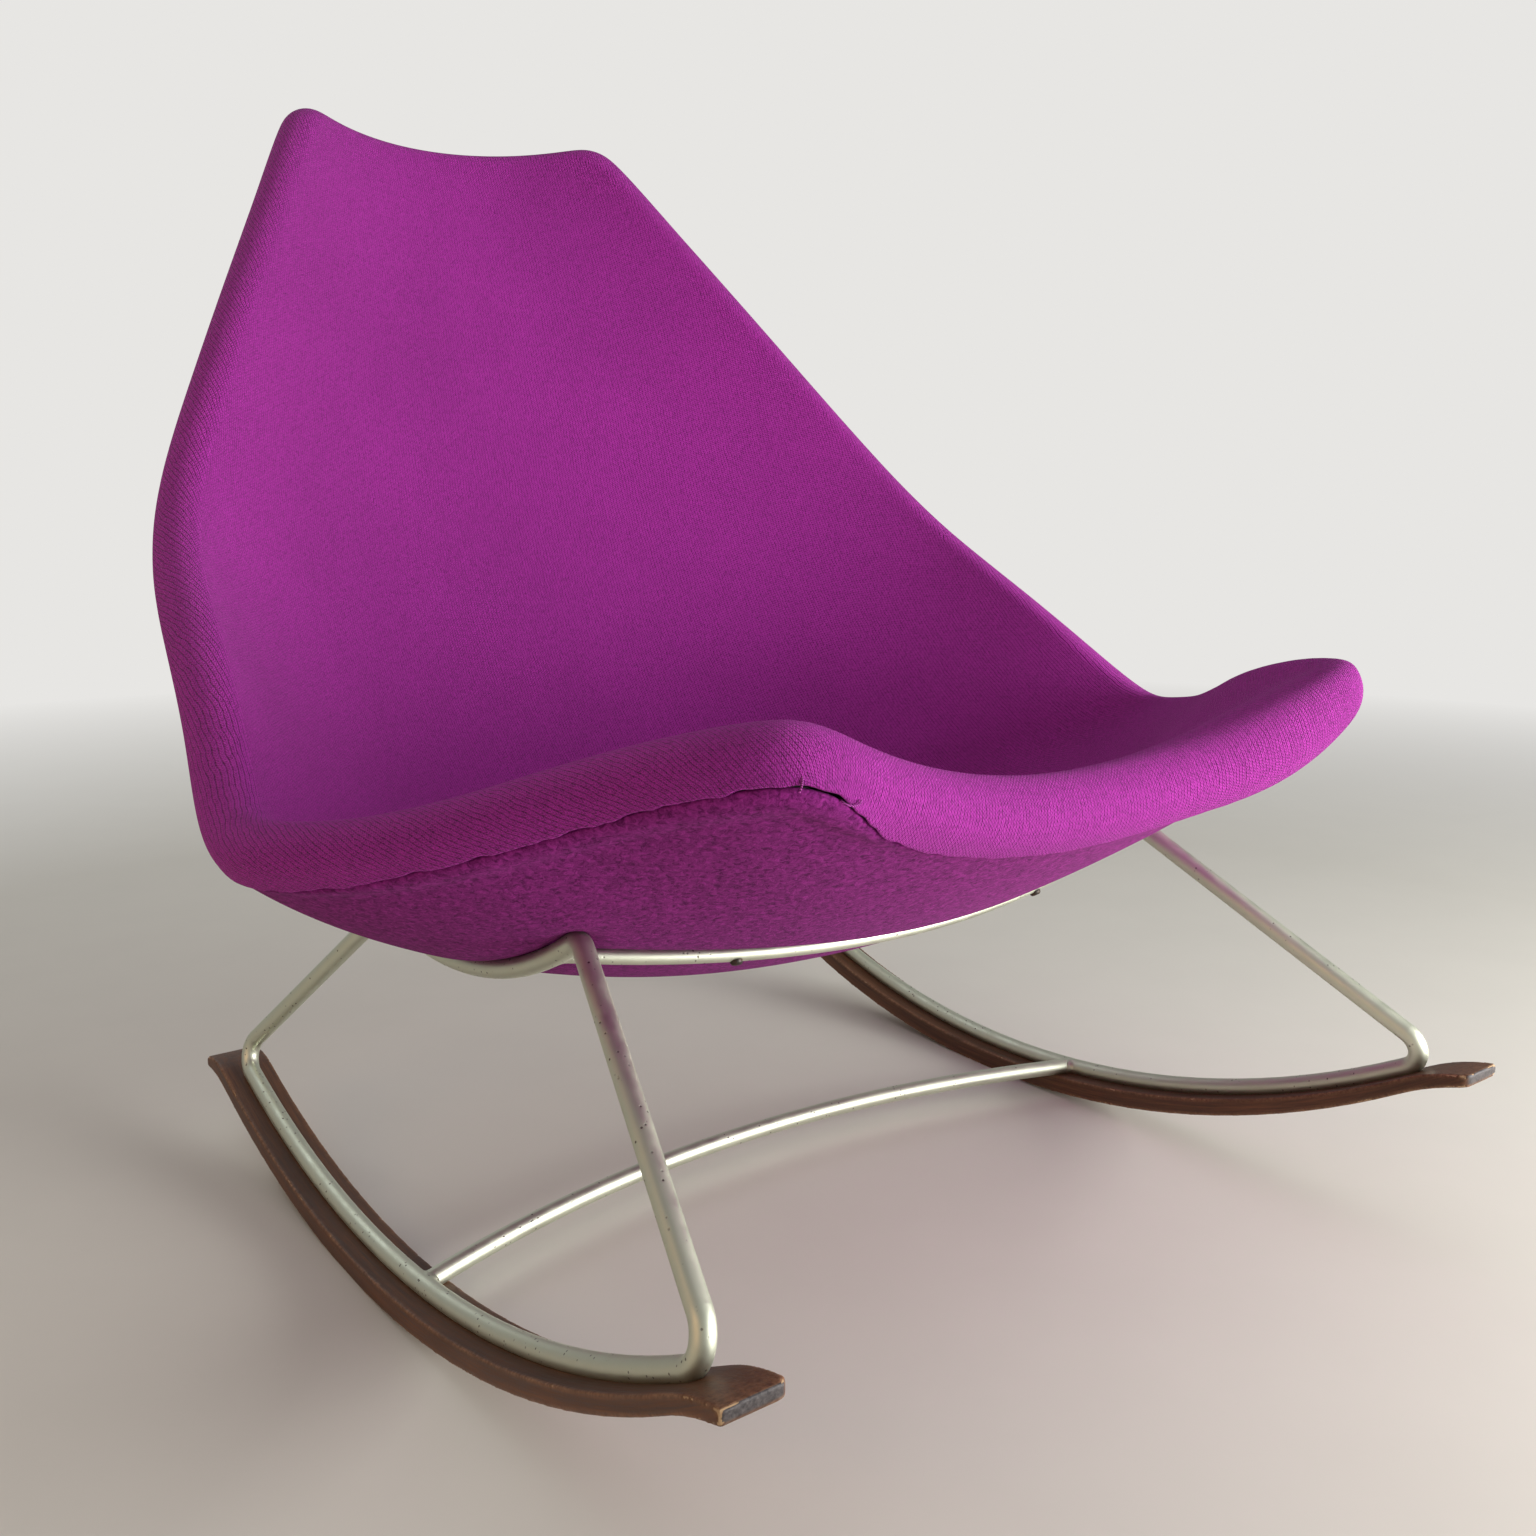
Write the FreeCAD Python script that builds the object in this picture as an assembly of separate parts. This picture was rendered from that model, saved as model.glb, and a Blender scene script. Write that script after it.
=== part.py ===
# Upholstered rocking chair: a padded bucket shell on two bent steel side loops with wooden runners.
# Millimetres. +Z is up, the front of the chair is towards -Y and the sitter's left is +X.
# The floor is Z = 0 and the runners touch it along the line Y = 0, under the balance point.
import FreeCAD
import Part
import math
import os

Vector = FreeCAD.Vector

# Driving dimensions: runners
TRACK_HALF = 320.0
PLANK_WIDTH = 41.0
PLANK_THICKNESS = 15.5
PLANK_TIP_THICKNESS = 9.0
PLANK_BOTTOM_RADIUS = 806.0
ROD_GROOVE_DEPTH = 2.0
WORN_FLAT_DEPTH = 0.8
FRONT_TIP_Y = -466.0
FRONT_TIP_TOP = 145.5
FRONT_TURN_Y = -418.0
REAR_TIP_Y = 318.0
REAR_TIP_TOP = 62.0
REAR_TURN_Y = 272.0
TIP_CORNER_RADIUS = 7.0
PLANK_EDGE_RADIUS = 1.0
FLAT_WITHIN = 1e-6

# Driving dimensions: steel rods
ROD_DIAMETER = 14.0
BAR_DIAMETER = 10.0
STRETCHER_DIAMETER = 13.4
ROD_ARC_RADIUS = 825.0
ROD_FRONT_END_Y = -410.0
ROD_REAR_END_Y = 258.0
LOWER_BEND_RUN = 29.0
CRADLE_HALF_WIDTH = 257.0
CRADLE_RADIUS = 390.0
CRADLE_CENTRE_Y = 10.0
CRADLE_LOWEST = 222.5
CRADLE_FRONT_Y = -193.0
CRADLE_REAR_Y = 92.0
UPPER_BEND_RUN = 9.0
STRETCHER_END_Y = -87.5
STRETCHER_BOW = 62.0
FRONT_BAR_END_Y = -168.0
FRONT_BAR_MID = (-210.0, 245.0)
REAR_BAR_END_Y = 66.0
REAR_BAR_MID = (84.0, 183.0)
NEST_GAP = 0.35

# Driving dimensions: upholstered shell
RIM_RADIUS = 21.0
COVER_THICKNESS = 1.6
SHELL_BOTTOM = -16.0
SEAT_SHELL_THICKNESS = 13.0
BACK_SHELL_THICKNESS = 2.2
SHELL_EDGE_INSET = 3.0
LAYER_PARTING = -14.8
PARTING_REACH = 45.0
SEAT_HOLLOW = 4.0
BACK_HOLLOW = 22.0
UNDERSIDE_HOLLOW = 12.0
SEAM_INSET = 6.0
# Rib numbers where the form changes: end of the front edge, start of the top edge, bowl, bend and back
FRONT_EASE = (0, 2)
TOP_EASE = (0, 3)
BOWL_TO_BACK = (6, 9)
UNDERSIDE_FADE = (4, 8)
SHELL_FADE = (5, 8)
FOAM_JOINT_RIB = 6.5
FOAM_JOINT_REACH = 900.0
# Shares of the rolled edge's radius, from its tip inwards
TIP_SHARES = (0.004, 0.1, 0.3, 0.6)
HORN_CORNER = 45.0
TOP_CORNER = 34.0
# Ribs from the front edge to the top edge: centre (y, z), then rim (x, y, z)
RIBS = [
    (-359, 359, 229, -379, 417),
    (-284, 311, 258, -346, 409),
    (-216, 273, 292, -290, 391),
    (-150, 241, 335, -236, 369),
    (-80, 214, 378, -178, 351),
    (-5, 200, 410, -122, 343),
    (70, 204, 418, -66, 350),
    (140, 233, 404, 10, 398),
    (205, 286, 390, 95, 452),
    (262, 360, 376, 165, 497),
    (310, 437, 350, 228, 555),
    (355, 525, 306, 287, 632),
    (402, 630, 260, 341, 709),
    (455, 740, 207, 402, 796),
    (519, 865, 155, 463, 881),
]

# Driving dimensions: fasteners
BAR_SCREW_X = 140.0
BAR_SCREW_DIAMETER = 5.0
BAR_SCREW_HEAD_DIAMETER = 8.6
BAR_SCREW_HEAD_HEIGHT = 3.2
BAR_SCREW_DOME = 2.4
BAR_SPOT_FACE = 0.8
SPACER_DIAMETER = 9.0
NUT_FLANGE_DIAMETER = 18.0
NUT_FLANGE_HEIGHT = 2.0
NUT_BARREL_DIAMETER = 8.0
NUT_SEAT_SLACK = 1.5
RUNNER_SCREW_DIAMETER = 4.0
RUNNER_SCREW_HEAD_DIAMETER = 8.0
RUNNER_SCREW_HEAD_HEIGHT = 3.0
RUNNER_SCREW_LENGTH = 20.0
RUNNER_SCREW_RECESS = 0.8
RUNNER_SCREW_Y = (-340.0, -190.0, 60.0, 210.0)

# Worked out from the driving dimensions
ROD_RADIUS = ROD_DIAMETER / 2
BAR_RADIUS = BAR_DIAMETER / 2
ROD_HEIGHT = PLANK_THICKNESS - ROD_GROOVE_DEPTH + ROD_RADIUS
ARC_CENTRE_Z = ROD_HEIGHT + ROD_ARC_RADIUS
PLANK_TOP_RADIUS = ARC_CENTRE_Z - PLANK_THICKNESS
PLANK_BOTTOM_CENTRE_Z = PLANK_BOTTOM_RADIUS - WORN_FLAT_DEPTH
CRADLE_CENTRE_Z = CRADLE_LOWEST + CRADLE_RADIUS


def arc_point(radius, y):
    """Height of the rod's arc, or of another round the same centre, over the place y."""
    return ARC_CENTRE_Z - math.sqrt(radius**2 - y**2)


def plank_bottom(y):
    """Height of the plank's underside, which bends more tightly, so that the plank thins to its ends."""
    return PLANK_BOTTOM_CENTRE_Z - math.sqrt(PLANK_BOTTOM_RADIUS**2 - y**2)


def cradle_height(y):
    return CRADLE_CENTRE_Z - math.sqrt(CRADLE_RADIUS**2 - (y - CRADLE_CENTRE_Y) ** 2)


def arc_edge(start, middle, end):
    return Part.Arc(start, middle, end).toShape()


def line_edge(start, end):
    return Part.LineSegment(start, end).toShape()


def unit(vector):
    return Vector(vector).normalize()


def sweep_round(path, diameter):
    """A round rod along a smooth path."""
    start = path.Edges[0].valueAt(path.Edges[0].FirstParameter)
    along = path.Edges[0].tangentAt(path.Edges[0].FirstParameter)
    profile = Part.Wire(Part.makeCircle(diameter / 2, start, along))
    return path.makePipeShell([profile], True, False)


def bend_arc(before, corner, after, run):
    """Arc that rounds a corner, starting and ending one run from it."""
    start = corner + unit(before - corner) * run
    end = corner + unit(after - corner) * run
    half_way = (start + end) * 0.5
    inward = unit(half_way - corner)
    half_angle = (before - corner).getAngle(after - corner) / 2
    radius = run * math.tan(half_angle)
    to_centre = run / math.cos(half_angle)
    return arc_edge(start, corner + inward * (to_centre - radius), end), start, end


# Steel frame
def side_loop(side, diameter):
    """One rod bent into a closed loop: runner stretch, front leg, cradle and rear leg."""
    low_x = side * TRACK_HALF
    high_x = side * CRADLE_HALF_WIDTH

    def low(y):
        return Vector(low_x, y, arc_point(ROD_ARC_RADIUS, y))

    def high(y):
        return Vector(high_x, y, cradle_height(y))

    low_front, low_rear = low(ROD_FRONT_END_Y), low(ROD_REAR_END_Y)
    high_front, high_rear = high(CRADLE_FRONT_Y), high(CRADLE_REAR_Y)
    low_centre = Vector(low_x, 0, ARC_CENTRE_Z)
    high_centre = Vector(high_x, CRADLE_CENTRE_Y, CRADLE_CENTRE_Z)

    def corner(point, centre, run, forward):
        spoke = unit(point - centre)
        along = Vector(0, spoke.z, -spoke.y) if forward else Vector(0, -spoke.z, spoke.y)
        return point + along * run

    front_foot = corner(low_front, low_centre, LOWER_BEND_RUN, True)
    rear_foot = corner(low_rear, low_centre, LOWER_BEND_RUN, False)
    front_head = corner(high_front, high_centre, UPPER_BEND_RUN, True)
    rear_head = corner(high_rear, high_centre, UPPER_BEND_RUN, False)
    foot_bend, _, leg_start = bend_arc(low_front, front_foot, front_head, LOWER_BEND_RUN)
    head_bend, leg_end, _ = bend_arc(front_foot, front_head, high_front, UPPER_BEND_RUN)
    rear_head_bend, _, rear_leg_start = bend_arc(high_rear, rear_head, rear_foot, UPPER_BEND_RUN)
    rear_foot_bend, rear_leg_end, _ = bend_arc(rear_head, rear_foot, low_rear, LOWER_BEND_RUN)
    edges = [
        arc_edge(low_rear, low(0), low_front),
        foot_bend,
        line_edge(leg_start, leg_end),
        head_bend,
        arc_edge(high_front, high(CRADLE_CENTRE_Y), high_rear),
        rear_head_bend,
        line_edge(rear_leg_start, rear_leg_end),
        rear_foot_bend,
    ]
    stretches = [sweep_round(Part.Wire([edge]), diameter) for edge in edges]
    return stretches[0].multiFuse(stretches[1:]).removeSplitter()


def cross_rod(end, middle, diameter):
    """Bowed rod from the right-hand loop to the left-hand one, through its middle point."""
    other = Vector(-end.x, end.y, end.z)
    return sweep_round(Part.Wire(arc_edge(other, middle, end)), diameter)


left_side_frame = side_loop(1, ROD_DIAMETER)
right_side_frame = side_loop(-1, ROD_DIAMETER)
loops = [left_side_frame, right_side_frame]

stretcher_z = arc_point(ROD_ARC_RADIUS, STRETCHER_END_Y)
STRETCHER_END = Vector(TRACK_HALF, STRETCHER_END_Y, stretcher_z)
STRETCHER_MIDDLE = Vector(0, STRETCHER_END_Y + STRETCHER_BOW, stretcher_z)
lower_stretcher = cross_rod(STRETCHER_END, STRETCHER_MIDDLE, STRETCHER_DIAMETER).cut(loops)

FRONT_BAR_END = Vector(CRADLE_HALF_WIDTH, FRONT_BAR_END_Y, cradle_height(FRONT_BAR_END_Y))
FRONT_BAR_MIDDLE = Vector(0, *FRONT_BAR_MID)
front_seat_bar = cross_rod(FRONT_BAR_END, FRONT_BAR_MIDDLE, BAR_DIAMETER).cut(loops)

REAR_BAR_END = Vector(CRADLE_HALF_WIDTH, REAR_BAR_END_Y, cradle_height(REAR_BAR_END_Y))
REAR_BAR_MIDDLE = Vector(0, *REAR_BAR_MID)
rear_seat_bar = cross_rod(REAR_BAR_END, REAR_BAR_MIDDLE, BAR_DIAMETER).cut(loops)

# The same rods a little thicker: the room that the shell leaves for them
nests = [
    side_loop(1, ROD_DIAMETER + 2 * NEST_GAP),
    side_loop(-1, ROD_DIAMETER + 2 * NEST_GAP),
    cross_rod(FRONT_BAR_END, FRONT_BAR_MIDDLE, BAR_DIAMETER + 2 * NEST_GAP),
    cross_rod(REAR_BAR_END, REAR_BAR_MIDDLE, BAR_DIAMETER + 2 * NEST_GAP),
]


# Upholstered shell
rib_numbers = [float(number) for number in range(len(RIBS))]
LAST_RIB = rib_numbers[-1]
centre_line = Part.BSplineCurve()
centre_line.interpolate(Points=[Vector(0, r[0], r[1]) for r in RIBS], Parameters=rib_numbers)
rim_line = Part.BSplineCurve()
rim_line.interpolate(Points=[Vector(r[2], r[3], r[4]) for r in RIBS], Parameters=rib_numbers)


def blend(rib, span):
    """How far a rib lies between the two of a span, from 0 to 1."""
    start, end = span
    return min(1.0, max(0.0, (rib - start) / (end - start)))


def top_hollow(rib):
    """How much lower the middle of the sitting side lies than its rims, over the shell."""
    field = SEAT_HOLLOW + (BACK_HOLLOW - SEAT_HOLLOW) * blend(rib, BOWL_TO_BACK)
    return field * blend(rib, FRONT_EASE) * blend(LAST_RIB - rib, TOP_EASE)


def underside_hollow(rib):
    """How much the middle of the underside is drawn in under the seat."""
    return UNDERSIDE_HOLLOW * blend(rib, FRONT_EASE) * (1 - blend(rib, UNDERSIDE_FADE))


def shell_thickness(rib):
    """The moulded shell is thick under the seat, where the bars bolt on, and thin up the back."""
    return SEAT_SHELL_THICKNESS + (BACK_SHELL_THICKNESS - SEAT_SHELL_THICKNESS) * blend(rib, SHELL_FADE)


class Station:
    """One rib of the shell's middle surface, with the surface's directions at its middle and at its rim."""

    def __init__(self, rib, past=0.0, loss=0.0, flat=False):
        """past runs on along the surface beyond the rib, loss narrows it, flat keeps it in one plane."""
        self.rib = rib
        centre_way = unit(centre_line.tangent(rib)[0])
        rim_way = unit(rim_line.tangent(rib)[0])
        self.centre = centre_line.value(rib) + centre_way * past
        rim = rim_line.value(rib) + rim_way * past
        rise = Vector(0, rim.y - self.centre.y, rim.z - self.centre.z)
        depth = rise.Length
        rise.normalize()
        half_width = rim.x - loss
        depth *= (half_width / rim.x) ** 2
        radius = (half_width**2 + depth**2) / (2 * depth)
        turn = math.atan2(half_width, radius - depth)
        across = Vector(math.cos(turn), 0, 0) + rise * math.sin(turn)
        inward = Vector(-math.sin(turn), 0, 0) + rise * math.cos(turn)
        self.rim = self.centre + Vector(half_width, 0, 0) + rise * depth
        if flat:
            self.centre_up, self.rim_up, self.rim_out = rise, inward, across
            return
        self.centre_up = Vector(0, -centre_way.z, centre_way.y)
        self.rim_up = unit(rim_way.cross(across))
        if self.rim_up.dot(inward) < 0:
            self.rim_up = -self.rim_up
        self.rim_out = unit(across - rim_way * across.dot(rim_way))

    def at_rim(self, side, up, out):
        """Point at one rim, so far above the middle surface and out past the rim."""
        point = self.rim + self.rim_up * up + self.rim_out * out
        return Vector(side * point.x, point.y, point.z)

    def across(self, up, inset, lift):
        """Arc from rim to rim, so far above the middle surface, and lifted by more at its middle."""
        middle = self.centre + self.centre_up * (up + lift)
        return arc_edge(self.at_rim(-1, up, -inset), middle, self.at_rim(1, up, -inset))

    def rolled(self, half):
        """Crescent wire with rounded rims."""
        bulge = half * math.sqrt(0.5)
        ends = []
        for side in (1, -1):
            tip = self.at_rim(side, 0, half)
            upper = arc_edge(self.at_rim(side, half, 0), self.at_rim(side, bulge, bulge), tip)
            lower = arc_edge(tip, self.at_rim(side, -bulge, bulge), self.at_rim(side, -half, 0))
            ends += [upper, lower]
        top = self.across(half, 0, -top_hollow(self.rib))
        bottom = self.across(-half, 0, underside_hollow(self.rib))
        return Part.Wire([top, ends[0], ends[1], bottom, ends[3], ends[2]])

    def squared(self, top, bottom, inset):
        """Band wire with square rims."""
        ends = [
            line_edge(self.at_rim(side, top, -inset), self.at_rim(side, bottom, -inset)) for side in (1, -1)
        ]
        lift = underside_hollow(self.rib)
        return Part.Wire([self.across(top, inset, lift), ends[0], self.across(bottom, inset, lift), ends[1]])


def corner_loss(from_tip, corner):
    """How much a rounded corner in plan takes off the half width, so far from the tip."""
    if from_tip >= corner:
        return 0.0
    return corner - math.sqrt(corner**2 - (corner - from_tip) ** 2)


def padded_body(radius):
    """The whole upholstered form, with a rolled rim of that radius on all four edges."""

    def end_wires(rib, forward, corner):
        """Rolled edge from its tip inwards, at the front or at the top."""
        wires = []
        for share in TIP_SHARES:
            from_tip = share * radius
            half = math.sqrt(radius**2 - (radius - from_tip) ** 2)
            past = forward * (radius - from_tip)
            flat = share == TIP_SHARES[0]
            wires.append(Station(rib, past, corner_loss(from_tip, corner), flat).rolled(half))
        wires.append(Station(rib, 0.0, corner_loss(radius, corner)).rolled(radius))
        return wires

    front = end_wires(0.0, -1, HORN_CORNER)
    top = end_wires(LAST_RIB, 1, TOP_CORNER)
    between = [Station(rib).rolled(radius) for rib in rib_numbers[1:-1]]
    return Part.makeLoft(front + between + top[::-1], True, False)


def band_body(top, bottom, inset):
    """A layer between two heights, given for each rib, that follows the underside, short of every edge."""
    stations = [Station(0.0, inset, corner_loss(RIM_RADIUS + inset, HORN_CORNER))]
    stations += [Station(rib) for rib in rib_numbers[1:-1]]
    stations.append(Station(LAST_RIB, -inset, corner_loss(RIM_RADIUS + inset, TOP_CORNER)))
    wires = [station.squared(top(station.rib), bottom(station.rib), inset) for station in stations]
    caps = []
    for station in (stations[0], stations[-1]):
        lift = underside_hollow(station.rib)
        upper = station.across(top(station.rib), inset, lift)
        lower = station.across(bottom(station.rib), inset, lift)
        caps.append(Part.makeRuledSurface(upper, lower))
    whole = Part.Compound(Part.makeLoft(wires, False, False).Faces + caps)
    whole.sewShape()
    solid = Part.Solid(whole.Shells[0])
    if solid.Volume < 0:
        solid.reverse()
    return solid


def level(height):
    """The same height at every rib."""
    return lambda rib: height


def shell_top(rib):
    return SHELL_BOTTOM + shell_thickness(rib)


outside = padded_body(RIM_RADIUS)
padding = padded_body(RIM_RADIUS - COVER_THICKNESS)
seat_shell = band_body(shell_top, level(SHELL_BOTTOM), SHELL_EDGE_INSET)
upper_field = band_body(level(PARTING_REACH), level(LAYER_PARTING), SEAM_INSET)
lower_field = band_body(level(LAYER_PARTING), level(-PARTING_REACH), SEAM_INSET)
middle_field = band_body(level(PARTING_REACH), level(-PARTING_REACH), SEAM_INSET)

cover = outside.cut(padding)
top_cover = cover.cut(lower_field)
underside_cover = cover.common(lower_field)
soft = padding.cut(seat_shell)
seat_back_foam = soft.common(upper_field)
underside_padding = soft.common(lower_field)
edge_roll = padding.cut(middle_field).cut(seat_shell)
seat_shell = seat_shell.cut(nests)


def main_solid(shape):
    """The piece itself, without the crumbs that a cut leaves."""
    return max(shape.Solids, key=lambda solid: solid.Volume)


# Bar screws with their spacers and the flanged nuts in the shell
def bowed_point(end, middle, x):
    """Point of a bowed bar's centre line at that distance from the middle plane."""
    bow = Vector(0, middle.y - end.y, middle.z - end.z)
    radius = (end.x**2 + bow.Length**2) / (2 * bow.Length)
    share = (math.sqrt(radius**2 - x**2) - radius + bow.Length) / bow.Length
    return Vector(x, end.y + bow.y * share, end.z + bow.z * share)


def bar_fastening(end, middle, bar):
    """Screws, spacers and nuts of one bar, and the holes for them in the shell and the padding."""
    screws, spacers, nuts, shell_holes, padding_holes = [], [], [], [], []
    for x in (-BAR_SCREW_X, BAR_SCREW_X):
        foot = bowed_point(end, middle, x)
        reach, nearest, _ = seat_shell.distToShape(Part.Vertex(foot))
        axis = unit(nearest[0][0] - foot)
        shell_out = reach + SEAT_SHELL_THICKNESS

        def round_piece(diameter, start, stop):
            return Part.makeCylinder(diameter / 2, stop - start, foot + axis * start, axis)

        under = -BAR_RADIUS + BAR_SPOT_FACE
        head = round_piece(BAR_SCREW_HEAD_DIAMETER, under - BAR_SCREW_HEAD_HEIGHT, under)
        head_edges = [
            edge
            for edge in head.Edges
            if edge.isClosed() and (edge.CenterOfMass - foot).dot(axis) < under - BAR_SCREW_HEAD_HEIGHT / 2
        ]
        head = head.makeFillet(BAR_SCREW_DOME, head_edges)
        shank = round_piece(BAR_SCREW_DIAMETER, under, shell_out + NUT_FLANGE_HEIGHT)
        spacer = round_piece(SPACER_DIAMETER, 0, reach + NUT_SEAT_SLACK).cut(seat_shell)
        flange = round_piece(NUT_FLANGE_DIAMETER, reach + NUT_SEAT_SLACK, shell_out + NUT_FLANGE_HEIGHT)
        barrel = round_piece(NUT_BARREL_DIAMETER, reach - NUT_SEAT_SLACK, shell_out + NUT_FLANGE_HEIGHT)
        nut = barrel.common(seat_shell).fuse(flange.cut(seat_shell)).removeSplitter()
        screws.append(head.fuse(shank).removeSplitter())
        spacers.append(spacer.cut(bar).cut(shank))
        nuts.append(nut.cut(shank))
        shell_holes += [barrel, shank]
        padding_holes += [spacer, nut, shank]
    return screws, spacers, nuts, shell_holes, padding_holes


front_screws, front_spacers, front_nuts, front_shell_holes, front_padding_holes = bar_fastening(
    FRONT_BAR_END, FRONT_BAR_MIDDLE, front_seat_bar
)
rear_screws, rear_spacers, rear_nuts, rear_shell_holes, rear_padding_holes = bar_fastening(
    REAR_BAR_END, REAR_BAR_MIDDLE, rear_seat_bar
)
front_seat_bar = front_seat_bar.cut(front_screws)
rear_seat_bar = rear_seat_bar.cut(rear_screws)
seat_shell = seat_shell.cut(front_shell_holes + rear_shell_holes)
padding_holes = front_padding_holes + rear_padding_holes
seat_back_foam = main_solid(seat_back_foam.cut(padding_holes))
underside_padding = main_solid(underside_padding.cut(padding_holes))
underside_cover = main_solid(underside_cover.cut(padding_holes))

# The foam is two slabs that meet at the bend between the seat and the back
foam_joint = Station(FOAM_JOINT_RIB)
joint_rise = unit(Vector(0, foam_joint.rim.y - foam_joint.centre.y, foam_joint.rim.z - foam_joint.centre.z))
joint_way = Vector(0, joint_rise.z, -joint_rise.y)
behind_joint = Part.makeCylinder(FOAM_JOINT_REACH, FOAM_JOINT_REACH, foam_joint.centre, joint_way)
seat_foam = main_solid(seat_back_foam.cut(behind_joint))
back_foam = main_solid(seat_back_foam.common(behind_joint))


# Wooden runners
def tangent_arc(start, way, end):
    """Arc that leaves start in the direction way and runs to end."""
    chord = end - start
    along = unit(chord)
    bulge_way = unit(way - along * way.dot(along))
    bulge = chord.Length / 2 * math.tan(way.getAngle(chord) / 2)
    return arc_edge(start, (start + end) * 0.5 + bulge_way * bulge, end)


def runner(side, loop):
    """Bent plank under one loop, grooved for its rod, with both ends turned down into stops."""
    near_x = side * TRACK_HALF - PLANK_WIDTH / 2

    def on_top(y):
        return Vector(near_x, y, arc_point(PLANK_TOP_RADIUS, y))

    def on_bottom(y):
        return Vector(near_x, y, plank_bottom(y))

    def turned_end(start, centre_z, tip):
        sense = math.copysign(1, start.y)
        way = Vector(0, centre_z - start.z, start.y) * sense
        return tangent_arc(start, unit(way), tip)

    top_front, top_rear = on_top(FRONT_TURN_Y), on_top(REAR_TURN_Y)
    low_front, low_rear = on_bottom(FRONT_TURN_Y), on_bottom(REAR_TURN_Y)
    front_tip = Vector(near_x, FRONT_TIP_Y, FRONT_TIP_TOP)
    rear_tip = Vector(near_x, REAR_TIP_Y, REAR_TIP_TOP)
    thin = Vector(0, 0, PLANK_TIP_THICKNESS)
    outline = Part.Wire(
        [
            arc_edge(top_rear, on_top(0), top_front),
            turned_end(top_front, ARC_CENTRE_Z, front_tip),
            line_edge(front_tip, front_tip - thin),
            turned_end(low_front, PLANK_BOTTOM_CENTRE_Z, front_tip - thin),
            arc_edge(low_front, on_bottom(0), low_rear),
            turned_end(low_rear, PLANK_BOTTOM_CENTRE_Z, rear_tip - thin),
            line_edge(rear_tip - thin, rear_tip),
            turned_end(top_rear, ARC_CENTRE_Z, rear_tip),
        ]
    )
    plank = Part.Face(outline).extrude(Vector(PLANK_WIDTH, 0, 0))
    upright_edges = [
        edge
        for edge in plank.Edges
        if edge.BoundBox.YLength < FLAT_WITHIN and edge.BoundBox.XLength < FLAT_WITHIN
    ]
    inner_tip_edges = [edge for edge in upright_edges if abs(edge.CenterOfMass.x) < TRACK_HALF]
    plank = plank.makeFillet(TIP_CORNER_RADIUS, inner_tip_edges)
    side_faces = [face for face in plank.Faces if face.BoundBox.XLength < FLAT_WITHIN]
    side_edges = [edge for face in side_faces for edge in face.Edges]
    long_edges = [edge for edge in side_edges if edge.BoundBox.YLength > PLANK_WIDTH / 2]
    plank = plank.makeFillet(PLANK_EDGE_RADIUS, long_edges)
    below = Vector(near_x, FRONT_TIP_Y / 2, -PLANK_THICKNESS)
    floor = Part.makeBox(PLANK_WIDTH, -FRONT_TIP_Y, PLANK_THICKNESS, below)
    return plank.cut(floor).cut([loop, lower_stretcher])


def runner_screws(side):
    """Countersunk screws up through one runner into its rod, set square to the arc."""
    screws, recesses = [], []
    for y in RUNNER_SCREW_Y:
        foot = Vector(side * TRACK_HALF, y, plank_bottom(y))
        inward = unit(Vector(side * TRACK_HALF, 0, ARC_CENTRE_Z) - foot)
        base = foot + inward * RUNNER_SCREW_RECESS
        head_radius = RUNNER_SCREW_HEAD_DIAMETER / 2
        shank_radius = RUNNER_SCREW_DIAMETER / 2
        head = Part.makeCone(head_radius, shank_radius, RUNNER_SCREW_HEAD_HEIGHT, base, inward)
        shank = Part.makeCylinder(shank_radius, RUNNER_SCREW_LENGTH, base, inward)
        screws.append(head.fuse(shank).removeSplitter())
        recesses.append(Part.makeCylinder(head_radius, 2 * RUNNER_SCREW_RECESS, base, -inward))
    return screws, recesses


left_screws, left_recesses = runner_screws(1)
right_screws, right_recesses = runner_screws(-1)
left_runner = runner(1, left_side_frame).cut(left_screws + left_recesses)
right_runner = runner(-1, right_side_frame).cut(right_screws + right_recesses)
left_side_frame = left_side_frame.cut(left_screws)
right_side_frame = right_side_frame.cut(right_screws)

nodes = {
    "left_side_frame": left_side_frame,
    "right_side_frame": right_side_frame,
    "lower_stretcher": lower_stretcher,
    "front_seat_bar": front_seat_bar,
    "rear_seat_bar": rear_seat_bar,
    "front_bar_screws": Part.Compound(front_screws),
    "rear_bar_screws": Part.Compound(rear_screws),
    "front_bar_spacers": Part.Compound(front_spacers),
    "rear_bar_spacers": Part.Compound(rear_spacers),
    "front_shell_nuts": Part.Compound(front_nuts),
    "rear_shell_nuts": Part.Compound(rear_nuts),
    "left_runner": left_runner,
    "right_runner": right_runner,
    "left_runner_screws": Part.Compound(left_screws),
    "right_runner_screws": Part.Compound(right_screws),
    "seat_shell": seat_shell,
    "seat_foam": seat_foam,
    "back_foam": back_foam,
    "edge_roll": edge_roll,
    "underside_padding": underside_padding,
    "top_cover": top_cover,
    "underside_cover": underside_cover,
}
os.makedirs("parts", exist_ok=True)
for name, shape in nodes.items():
    shape.exportStep("parts/" + name + ".step")
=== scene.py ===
import math

import bpy
import numpy as np
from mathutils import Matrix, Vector
from mathutils import noise as lumps
from mathutils.bvhtree import BVHTree


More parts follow.
